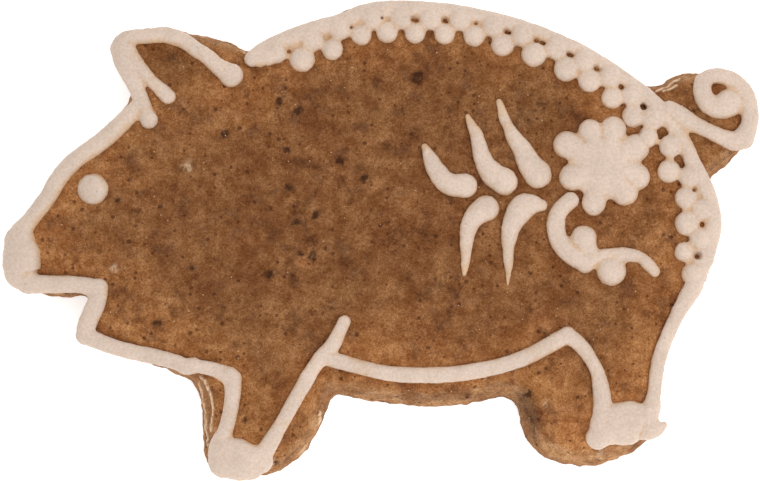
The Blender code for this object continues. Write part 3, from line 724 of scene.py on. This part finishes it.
def pipe(landmarks, heights, look):
    """A piped line: a curve through the landmarks with its own width at each, and round ends."""
    bpy.ops.curve.primitive_bezier_curve_add(enter_editmode=True)
    bpy.ops.curve.select_all(action="SELECT")
    bpy.ops.curve.delete(type="VERT")
    for mark, height in zip(landmarks, heights):
        bpy.ops.curve.vertex_add(location=(*placed(mark), height))
    bpy.ops.curve.select_all(action="SELECT")
    bpy.ops.curve.handle_type_set(type="AUTOMATIC")
    bpy.ops.object.mode_set(mode="OBJECT")
    line = bpy.context.object
    line.data.dimensions = "3D"
    line.data.twist_mode = "Z_UP"
    line.data.resolution_u = 10
    line.data.bevel_depth = MM
    line.data.bevel_resolution = 5
    line.data.use_fill_caps = True
    for point, mark in zip(line.data.splines[0].bezier_points, landmarks):
        point.radius = mark[2] + look.spread / MM
    bpy.ops.object.convert(target="MESH")
    flatten(line, heights, look)
    ends = [ball(mark, height, look)
            for mark, height in ((landmarks[0], heights[0]), (landmarks[-1], heights[-1]))]
    return [line, *ends]


def flatten(line, heights, look):
    """Press a round line flat about the height of its own middle."""
    middle = float(np.mean(heights))
    places = vectors(line, "place")
    places[:, 2] = middle + (places[:, 2] - middle) * look.flatness
    put_places(line, places)


def ball(mark, height, look, flatness=None):
    """A flattened ball of icing."""
    bpy.ops.mesh.primitive_uv_sphere_add(
        segments=32, ring_count=16, radius=mark[2] * MM + look.spread,
        location=(*placed(mark), height), scale=(1, 1, flatness or look.flatness))
    bpy.ops.object.transform_apply(location=True, rotation=True, scale=True)
    return bpy.context.object


class Dough:
    """The dough's finished surface, for icing to lie on."""

    def __init__(self, item):
        self.tree = BVHTree.FromObject(item, bpy.context.evaluated_depsgraph_get())
        places, normals = vectors(item, "place"), vectors(item, "normal")
        self.plateau = float(np.median(places[normals[:, 2] > LEVEL_NORMAL, 2]))

    def height(self, x, y):
        """Height of the top below a place, or None beyond the edge."""
        hit = self.tree.ray_cast(Vector((x, y, ABOVE_ALL)), Vector((0, 0, -1)))[0]
        return hit.z if hit else None

    def bed(self, mark, look):
        """Height of a line's middle at a landmark: it bridges the steep part of the shoulder."""
        surface = self.height(*placed(mark)) or 0
        half = mark[2] * MM
        sink = look.sinking * max(half - look.thin_line, 0)
        sink += look.tip_sinking * max(look.tip_line - half, 0)
        return max(surface, self.plateau - look.sag) + look.lift - sink


def rest_icing(item, dough, look):
    """Draw the icing's underside down into the dough, and store each point's height above it."""
    places, normals = vectors(item, "place"), vectors(item, "normal")
    above = np.zeros(len(places))
    edge = dough.plateau - look.overhang
    for index, (x, y, z) in enumerate(places):
        surface = dough.height(x, y)
        if surface is None or surface < edge:
            above[index] = z - edge
        else:
            above[index] = z - surface
            if normals[index, 2] < 0 and z > surface - look.bite:
                places[index, 2] = surface - look.bite
    put_places(item, places)
    return above


def creases(item, rounds):
    """How deep each point lies below the surface smoothed round it, in millimetres."""
    places, normals = vectors(item, "place"), vectors(item, "normal")
    ends = np.empty(len(item.data.edges) * 2, dtype=np.int32)
    item.data.edges.foreach_get("vertices", ends)
    first, second = ends[0::2], ends[1::2]
    number = len(places)
    neighbours = np.bincount(ends, minlength=number)[:, None]
    smooth = places.copy()
    for _ in range(rounds):
        total = [np.bincount(first, smooth[second, axis], number)
                 + np.bincount(second, smooth[first, axis], number) for axis in range(3)]
        smooth = np.stack(total, axis=1) / neighbours
    return ((smooth - places) * normals).sum(axis=1) / MM


def open_gaps(item, dough, look, gaps):
    """Push the icing into the dough where the rows of beads leave a gap, so that the dough shows."""
    places = vectors(item, "place")
    for index in np.flatnonzero(spot_cover(places, gaps)):
        surface = dough.height(*places[index, :2]) or 0
        cover = spot_cover(places[index:index + 1], gaps)[0]
        places[index, 2] -= cover * max(places[index, 2] - surface + look.bite, 0)
    put_places(item, places)


def joined(name, pieces):
    """One object out of several pieces."""
    bpy.ops.object.select_all(action="DESELECT")
    for piece in pieces:
        piece.select_set(True)
    bpy.context.view_layer.objects.active = pieces[0]
    if len(pieces) > 1:
        bpy.ops.object.join()
    item = bpy.context.object
    item.name = name
    return item


def melt(item, look):
    """Run overlapping pieces into one smooth skin, full in the creases where they meet."""
    for flow in (look.flow, -look.flow):
        shape(item, "REMESH", mode="VOXEL", voxel_size=look.grain, use_smooth_shade=True)
        shape(item, "DISPLACE", strength=flow, mid_level=0)
    shape(item, "SMOOTH", factor=0.5, iterations=4)


def make_icing(name, pieces, nodes, material, look, dough, gaps=()):
    """Join pieces that run together into one smooth body and let it rest on the dough."""
    item = joined(name, pieces)
    melt(item, look)
    roughen(item, "swell", look.swell_size, look.swell)
    roughen(item, "ripple", look.ripple_size, look.ripple)
    roughen(item, "sand", look.sand_size, look.sand)
    rest_icing(item, dough, look)
    shape(item, "SMOOTH", factor=0.4, iterations=2)
    above = rest_icing(item, dough, look)
    put_attribute(item, "height", above / MM)
    put_attribute(item, "crease", creases(item, CREASE_ROUNDS))
    if gaps:
        open_gaps(item, dough, look, gaps)
    finish_piece(item, material, "icing", *nodes)


def pipe_all(lines, look, dough):
    """Every part of several lines, each line resting on the dough."""
    return [part for line in lines for part in pipe(line, [dough.bed(mark, look) for mark in line], look)]


def bead_row(look, dough):
    """The inner row of beads and the outer one, whose beads sit in the hollows between the inner ones."""
    inner = [Vector(bead[:2]) for bead in BACK_BEADS]
    balls = [ball(bead, dough.bed(bead, look), look) for bead in BACK_BEADS + NAPE_BEADS]
    for before, after in zip(inner, inner[1:]):
        outward = (after - before).orthogonal().normalized() * ROW_SPACING
        middle = (before + after) / 2 + outward
        bead = (middle.x, middle.y, OUTER_BEAD)
        balls.append(ball(bead, dough.bed(bead, look) + look.bead_rise, look))
    return balls


def petal_lines():
    """Each petal as a short thick line out from the flower's centre to the middle of its round end."""
    centre = Vector(FLOWER_CENTRE)
    return [[(*centre.lerp(Vector((x, y)), share), half * width) for share, width in PETAL_WIDTHS]
            for x, y, half in PETALS]


class CookieOperator:
    """What the operators that pipe icing share."""

    bl_options = {"REGISTER", "UNDO"}

    def tools(self, context):
        """The settings, the material and the dough that icing is piped with."""
        item = bpy.data.objects.get("dough")
        if item is None:
            raise RuntimeError("bake the dough first")
        look = context.scene.cookie_icing
        material = bpy.data.materials.get("sugar_icing") or icing_finish(look)
        return look, material, Dough(item)


def plain_dough(collection, look):
    """The dough's solid as an even mesh, with finer faces where ridges will stand."""
    item = bpy.data.objects.new("dough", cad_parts["gingerbread"].data.copy())
    collection.objects.link(item)
    pick(item)
    bpy.ops.object.mode_set(mode="EDIT")
    bpy.ops.mesh.select_all(action="SELECT")
    bpy.ops.mesh.remove_doubles(threshold=1e-6)
    bpy.ops.object.mode_set(mode="OBJECT")
    shape(item, "REMESH", mode="VOXEL", voxel_size=look.grain, use_smooth_shade=True)
    shape(item, "SMOOTH", factor=0.5, iterations=10)
    refine(item, RIDGES, look)
    return item


def roughen_dough(item, wall, look):
    """Lumps and crumb all over, and a rough crust on the wall."""
    group = item.vertex_groups.new(name="wall")
    for index, weight in enumerate(wall):
        if weight > 0:
            group.add([index], weight, "REPLACE")
    roughen(item, "lumps", look.lump_size, look.lumps)
    roughen(item, "crumb", look.crumb_size, look.crumb)
    roughen(item, "crust", look.crust_size, look.crust, "wall")
    item.vertex_groups.clear()


def dark_marks(places):
    """How dark each place is with charred sugar, dark lines and the painted shade of the hind leg's left
    slope.
    """
    smears_and_shade = [darkness * nearness(places, line, reach * MM) for line, reach, darkness in SMEARS_AND_SHADE]
    return np.max([spot_cover(places, DARK_SPOTS), *smears_and_shade], axis=0)


def pale_flakes(places, ragged, look):
    """How pale each place is with flaking crust; the front wall flakes from half the height of the rest."""
    flake = np.max([nearness(places, ridge, look.ridge_reach) for ridge in RIDGES], axis=0)
    flake = np.maximum(flake, look.paleness * spot_cover(ragged, PALE_SPOTS))
    lowest = np.where(places[:, 1] > 0, look.flake_low, look.flake_low / 2)
    return flake * smoothstep(places[:, 2], lowest, lowest + look.flake_fade)


def tone_and_shade_shift(places):
    """How much paler than the rest each place is made; the painted shade of the hind leg's left slope is
    among it.
    """
    total = np.zeros(len(places))
    for x, y, reach, paler in TONE_AND_SHADE_PATCHES:
        distance = np.linalg.norm(places[:, :2] - np.array(placed((x, y))), axis=1)
        total += paler * (1 - smoothstep(distance, 0, reach * MM))
    return total


class COOKIE_OT_bake_dough(bpy.types.Operator):
    """Bake the dough from its plain solid: crumb, lumps, rough wall and flaking edge"""

    bl_idname = "cookie.bake_dough"
    bl_label = "Bake Dough"

    def execute(self, context):
        look = context.scene.cookie_dough
        item = plain_dough(context.collection, look)
        places, normals = vectors(item, "place"), vectors(item, "normal")
        wall = 1 - smoothstep(np.abs(normals[:, 2]), *TURNING_NORMAL)
        roughen_dough(item, wall, look)

        ragged = shaken(places, *MARK_WOBBLE)
        top = places[:, 2] > look.mark_low
        mark = dark_marks(ragged)
        flake = pale_flakes(places, ragged, look)
        put_attribute(item, "depth", edge_distance(places, normals) / MM)
        put_attribute(item, "wall", wall)
        # The marks also hold the painted shade of the hind leg's left slope
        put_attribute(item, "mark", mark * top)
        put_attribute(item, "flake", flake)
        # Tone patches, with the painted shade of the hind leg's left slope among them
        put_attribute(item, "tone_and_shade", tone_and_shade_shift(places))

        places, normals = vectors(item, "place"), vectors(item, "normal")
        places += normals * (look.ridge * (flake - look.dent * mark) * top)[:, None]
        places[:, 2] = np.maximum(places[:, 2], 0)
        put_places(item, places)
        put_attribute(item, "under", 1 - smoothstep(places[:, 2], *SOLE))
        finish_piece(item, dough_finish(look), "dough", "gingerbread")
        return {"FINISHED"}


class COOKIE_OT_pipe_outline(CookieOperator, bpy.types.Operator):
    """Pipe the line round the ear, head, belly and legs"""

    bl_idname = "cookie.pipe_outline"
    bl_label = "Pipe Outline"

    def execute(self, context):
        look, material, dough = self.tools(context)
        pieces = pipe_all(HEAD_AND_LEGS, look, dough)
        make_icing("icing_head_and_legs", pieces, ["icing_outline"], material, look, dough)
        return {"FINISHED"}


class COOKIE_OT_pipe_back(CookieOperator, bpy.types.Operator):
    """Pipe the line and the beads along the back, and the curled tail"""

    bl_idname = "cookie.pipe_back"
    bl_label = "Pipe Back and Tail"

    def execute(self, context):
        look, material, dough = self.tools(context)
        pieces = pipe_all(BACK_AND_TAIL, look, dough) + bead_row(look, dough)
        make_icing("icing_back_and_tail", pieces, ["icing_outline"], material, look, dough, GAPS)
        return {"FINISHED"}


class COOKIE_OT_pipe_flower(CookieOperator, bpy.types.Operator):
    """Pipe the flower's petals and its middle"""

    bl_idname = "cookie.pipe_flower"
    bl_label = "Pipe Flower"

    def execute(self, context):
        look, material, dough = self.tools(context)
        centre = (*FLOWER_CENTRE, FLOWER_BODY)
        pieces = [ball(centre, dough.height(*placed(centre)) + look.lift, look, FLOWER_FLATNESS)]
        pieces += pipe_all(petal_lines(), look, dough)
        make_icing("icing_blossom", pieces, ["icing_flower"], material, look, dough)
        return {"FINISHED"}


class COOKIE_OT_pipe_scroll(CookieOperator, bpy.types.Operator):
    """Pipe the curled stem, its tendril and its two berries"""

    bl_idname = "cookie.pipe_scroll"
    bl_label = "Pipe Scroll"

    def execute(self, context):
        look, material, dough = self.tools(context)
        pieces = pipe_all((SCROLL_STEM, SCROLL_FORK, SCROLL_TENDRIL), look, dough)
        pieces += [ball(berry, dough.bed(berry, look), look) for berry in SCROLL_BERRIES]
        make_icing("icing_vine", pieces, ["icing_scroll"], material, look, dough)
        return {"FINISHED"}


class COOKIE_OT_pipe_drops(CookieOperator, bpy.types.Operator):
    """Pipe the five tapered drops"""

    bl_idname = "cookie.pipe_drops"
    bl_label = "Pipe Drops"

    def execute(self, context):
        look, material, dough = self.tools(context)
        for number, drop in enumerate(DROPS, 1):
            pieces = pipe_all([drop], look, dough)
            make_icing(f"icing_leaf_{number}", pieces, [f"icing_drop_{number}"], material, look, dough)
        return {"FINISHED"}


class COOKIE_OT_pipe_eye(CookieOperator, bpy.types.Operator):
    """Pipe the round eye"""

    bl_idname = "cookie.pipe_eye"
    bl_label = "Pipe Eye"

    def execute(self, context):
        look, material, dough = self.tools(context)
        pieces = [ball(EYE, dough.bed(EYE, look), look)]
        make_icing("icing_pupil", pieces, ["icing_eye"], material, look, dough)
        return {"FINISHED"}


def aim_light(name, place, target, size, power):
    """A square soft light that faces a target."""
    turn = (Vector(target) - Vector(place)).to_track_quat("-Z", "Y").to_euler()
    bpy.ops.object.light_add(type="AREA", location=place, rotation=turn)
    light = bpy.context.object
    light.name = name
    light.data.size = size
    light.data.energy = power


class COOKIE_OT_set_stage(bpy.types.Operator):
    """Lay a pale floor, set soft lights and put the camera above the cookie"""

    bl_idname = "cookie.set_stage"
    bl_label = "Set Stage"

    def execute(self, context):
        look = context.scene.cookie_stage
        scene = context.scene
        target = (SHIFT.x, SHIFT.y, AIM_HEIGHT)

        bpy.ops.mesh.primitive_plane_add(size=FLOOR_WIDTH, location=(0, 0, CAD_BOX[0].z - FLOOR_GAP))
        floor = context.object
        floor.name = "floor"
        finish = Finish("pale_floor")
        shade = finish.ease(finish.noise(size=0.05), *MIDTONES, start=0.995, end=1)
        colour = finish.node("ShaderNodeVectorMath", {0: look.floor, "Scale": shade}, operation="SCALE")
        finish.feed(finish.surface, {
            "Base Color": colour.outputs[0],
            "Roughness": 0.9,
            "Specular IOR Level": 0.2,
            "Emission Color": WHITE,
            "Emission Strength": look.glow})
        wear(floor, finish.material)

        world = bpy.data.worlds.new("soft_sky")
        world.use_nodes = True
        background = world.node_tree.nodes["Background"]
        background.inputs["Color"].default_value = WHITE
        background.inputs["Strength"].default_value = look.sky
        scene.world = world
        aim_light("key_light", KEY_PLACE, target, look.key_size, look.key)
        aim_light("fill_light", FILL_PLACE, target, look.fill_size, look.fill)

        back = look.distance * math.cos(look.elevation)
        rise = look.distance * math.sin(look.elevation)
        bpy.ops.object.camera_add(
            location=(target[0], target[1] - back, target[2] + rise),
            rotation=(math.pi / 2 - look.elevation, 0, 0))
        camera = context.object
        camera.name = "camera"
        camera.data.lens = look.lens
        camera.data.sensor_width = 36
        camera.data.clip_start = 0.01
        camera.data.clip_end = 10
        scene.camera = camera
        scene.view_settings.view_transform = "Standard"
        return {"FINISHED"}


STEPS = (
    COOKIE_OT_bake_dough, COOKIE_OT_pipe_outline, COOKIE_OT_pipe_back, COOKIE_OT_pipe_flower,
    COOKIE_OT_pipe_scroll, COOKIE_OT_pipe_drops, COOKIE_OT_pipe_eye, COOKIE_OT_set_stage)


class COOKIE_PT_steps(bpy.types.Panel):
    """The steps in order, each with its settings above it."""

    bl_label = "Gingerbread Cookie"
    bl_idname = "COOKIE_PT_steps"
    bl_space_type = "VIEW_3D"
    bl_region_type = "UI"
    bl_category = "Cookie"

    def draw(self, context):
        for settings in (context.scene.cookie_dough, context.scene.cookie_icing, context.scene.cookie_stage):
            box = self.layout.box()
            for name in settings.__annotations__:
                box.prop(settings, name)
        for step in STEPS:
            self.layout.operator(step.bl_idname)


CLASSES = (DoughSettings, IcingSettings, StageSettings, *STEPS, COOKIE_PT_steps)


def register():
    for entry in CLASSES:
        bpy.utils.register_class(entry)
    bpy.types.Scene.cookie_dough = PointerProperty(type=DoughSettings)
    bpy.types.Scene.cookie_icing = PointerProperty(type=IcingSettings)
    bpy.types.Scene.cookie_stage = PointerProperty(type=StageSettings)


def unregister():
    del bpy.types.Scene.cookie_dough
    del bpy.types.Scene.cookie_icing
    del bpy.types.Scene.cookie_stage
    for entry in reversed(CLASSES):
        bpy.utils.unregister_class(entry)


def main():
    """Register everything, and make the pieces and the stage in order."""
    register()
    bpy.ops.object.select_all(action="DESELECT")
    bpy.ops.cookie.bake_dough()
    bpy.ops.cookie.pipe_outline()
    bpy.ops.cookie.pipe_back()
    bpy.ops.cookie.pipe_flower()
    bpy.ops.cookie.pipe_scroll()
    bpy.ops.cookie.pipe_drops()
    bpy.ops.cookie.pipe_eye()
    bpy.ops.cookie.set_stage()


if __name__ == "__main__":
    main()
